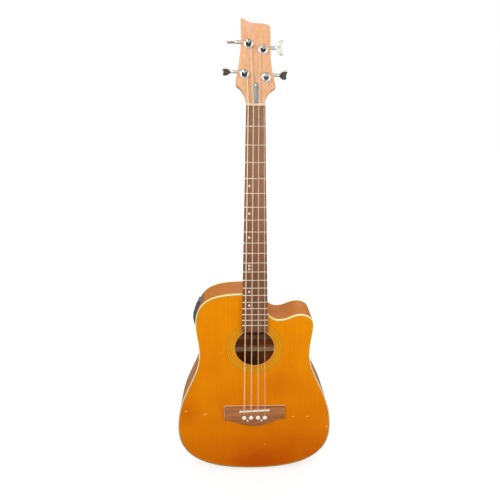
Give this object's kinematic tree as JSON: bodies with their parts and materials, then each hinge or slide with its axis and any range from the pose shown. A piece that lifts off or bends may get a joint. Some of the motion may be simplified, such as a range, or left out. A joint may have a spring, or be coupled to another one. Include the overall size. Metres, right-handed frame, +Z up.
{
  "type": "acoustic bass guitar",
  "caption": "Cutaway acoustic-electric bass guitar: hollow braced body, glued neck, worm-and-gear tuning machines, pinned bridge and a preamp in its side.",
  "frame": {"origin": "centre of the end pin's outer face, at the tail of the body", "axes": "+Z up the neck from tail to head, -Y out of the soundboard towards the player's audience, +X towards the cutaway (treble) side"},
  "size_m": [0.4372, 0.1349, 1.2273],
  "materials": {
    "top_wood": "amber gloss lacquer over book-matched spruce",
    "side_wood": "gloss lacquer over red-brown mahogany",
    "inner_wood": "bare sanded wood",
    "neck_wood": "satin lacquer over light laminated wood",
    "rosewood": "oiled open-grained rosewood; the frets are fused to this piece",
    "binding": "polished pale yellow plastic",
    "bone": "smooth cream plastic",
    "chrome": "mirror plating",
    "steel": "plain steel",
    "cover_metal": "satin blue-grey",
    "preamp_plastic": "fine-textured black",
    "string_metal": "bronze winding"
  },
  "bodies": {
    "guitar": {"soundboard": "top_wood", "back": "side_wood", "rim_bass": "side_wood", "rim_treble": "side_wood", "top_binding": "binding", "back_binding": "binding", "top_lining": "inner_wood", "back_lining": "inner_wood", "neck_block": "inner_wood", "tail_block": "inner_wood", "x_brace": "inner_wood", "upper_brace": "inner_wood", "back_brace_1": "inner_wood", "back_brace_2": "inner_wood", "back_brace_3": "inner_wood", "back_brace_4": "inner_wood", "back_strip": "inner_wood", "bridge_plate": "inner_wood", "bridge": "rosewood", "saddle": "bone", "saddle_pickup": "steel", "bridge_pin_e": "bone", "bridge_pin_a": "bone", "bridge_pin_d": "bone", "bridge_pin_g": "bone", "neck": "neck_wood", "fretboard": "rosewood", "nut": "bone", "truss_rod": "steel", "truss_rod_cover": "cover_metal", "strap_button": "chrome", "end_pin": "chrome", "output_jack": "chrome", "preamp_housing": "preamp_plastic", "tuner_plate_e": "chrome", "ferrule_e": "chrome", "string_e": "string_metal", "tuner_plate_a": "chrome", "ferrule_a": "chrome", "string_a": "string_metal", "tuner_plate_d": "chrome", "ferrule_d": "chrome", "string_d": "string_metal", "tuner_plate_g": "chrome", "ferrule_g": "chrome", "string_g": "string_metal"},
    "post_e": {"string_post_e": "chrome"},
    "button_e": {"tuning_button_e": "chrome"},
    "post_a": {"string_post_a": "chrome"},
    "button_a": {"tuning_button_a": "chrome"},
    "post_d": {"string_post_d": "chrome"},
    "button_d": {"tuning_button_d": "chrome"},
    "post_g": {"string_post_g": "chrome"},
    "button_g": {"tuning_button_g": "chrome"},
    "knob_body_1": {"knob_1": "preamp_plastic"},
    "knob_body_2": {"knob_2": "preamp_plastic"},
    "knob_body_3": {"knob_3": "preamp_plastic"},
    "knob_body_4": {"knob_4": "preamp_plastic"},
    "drawer": {"battery_drawer": "preamp_plastic"},
    "rod_nut": {"truss_rod_nut": "steel"}
  },
  "joints": [
    {"name": "post_e_turn", "type": "hinge", "parent": "guitar", "child": "post_e", "pos_m": [-0.0259, -0.02434, 1.09954], "axis": [0, 0.9781, -0.2079], "continuous": true},
    {"name": "button_e_turn", "type": "hinge", "parent": "guitar", "child": "button_e", "pos_m": [-0.0259, -0.02185, 1.11127], "axis": [1, 0, 0], "continuous": true},
    {"name": "post_a_turn", "type": "hinge", "parent": "guitar", "child": "post_a", "pos_m": [-0.01622, -0.01026, 1.16578], "axis": [0, 0.9781, -0.2079], "continuous": true},
    {"name": "button_a_turn", "type": "hinge", "parent": "guitar", "child": "button_a", "pos_m": [-0.01622, -0.00777, 1.17752], "axis": [1, 0, 0], "continuous": true},
    {"name": "post_d_turn", "type": "hinge", "parent": "guitar", "child": "post_d", "pos_m": [0.01748, -0.01296, 1.1531], "axis": [0, 0.9781, -0.2079], "continuous": true},
    {"name": "button_d_turn", "type": "hinge", "parent": "guitar", "child": "button_d", "pos_m": [0.01748, -0.01046, 1.16484], "axis": [1, 0, 0], "continuous": true},
    {"name": "post_g_turn", "type": "hinge", "parent": "guitar", "child": "post_g", "pos_m": [0.02439, -0.02597, 1.09187], "axis": [0, 0.9781, -0.2079], "continuous": true},
    {"name": "button_g_turn", "type": "hinge", "parent": "guitar", "child": "button_g", "pos_m": [0.02439, -0.02348, 1.10361], "axis": [1, 0, 0], "continuous": true},
    {"name": "knob_1_turn", "type": "hinge", "parent": "guitar", "child": "knob_body_1", "pos_m": [-0.16448, -0.01756, 0.46549], "axis": [-0.9593, 0, -0.2823], "range_deg": [-140, 140]},
    {"name": "knob_2_turn", "type": "hinge", "parent": "guitar", "child": "knob_body_2", "pos_m": [-0.16695, -0.01756, 0.48049], "axis": [-0.9992, 0, -0.0403], "range_deg": [-140, 140]},
    {"name": "knob_3_turn", "type": "hinge", "parent": "guitar", "child": "knob_body_3", "pos_m": [-0.16573, -0.01756, 0.49549], "axis": [-0.9795, 0, 0.2016], "range_deg": [-140, 140]},
    {"name": "knob_4_turn", "type": "hinge", "parent": "guitar", "child": "knob_body_4", "pos_m": [-0.16057, -0.01756, 0.51049], "axis": [-0.8963, 0, 0.4435], "range_deg": [-140, 140]},
    {"name": "drawer_slide", "type": "slide", "parent": "guitar", "child": "drawer", "axis": [-1, 0, 0], "range_m": [0, 0.03]},
    {"name": "rod_nut_turn", "type": "hinge", "parent": "guitar", "child": "rod_nut", "pos_m": [0, -0.05145, 1.04778], "axis": [0, 0, 1], "range_deg": [-180, 180]}
  ],
  "couplings": [
    {"joint": "post_e_turn", "follows": "button_e_turn", "ratio": 0.05},
    {"joint": "post_a_turn", "follows": "button_a_turn", "ratio": 0.05},
    {"joint": "post_d_turn", "follows": "button_d_turn", "ratio": -0.05},
    {"joint": "post_g_turn", "follows": "button_g_turn", "ratio": -0.05}
  ]
}
